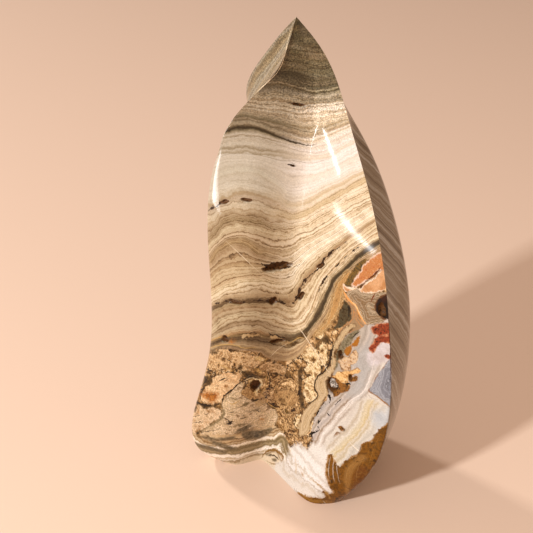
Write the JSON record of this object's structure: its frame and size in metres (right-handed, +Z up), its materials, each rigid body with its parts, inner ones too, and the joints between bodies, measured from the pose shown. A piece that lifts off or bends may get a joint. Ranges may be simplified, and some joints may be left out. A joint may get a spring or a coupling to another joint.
{
  "type": "polished stone flame",
  "caption": "Twisted flame carved from one piece of banded jasper: a hollow front face between two winding edges, a pointed tip and a flat sawn base.",
  "frame": {"origin": "on the flat sawn base, under the body of the stone, 200 mm below the tip", "axes": "+Z up to the tip, -Y out of the broad hollow face, +X towards its sharp front edge"},
  "size_m": [0.0844, 0.0687, 0.2],
  "materials": {
    "jasper": "polished"
  },
  "bodies": {
    "root": {"angel_jasper_flame": "jasper"}
  },
  "joints": []
}
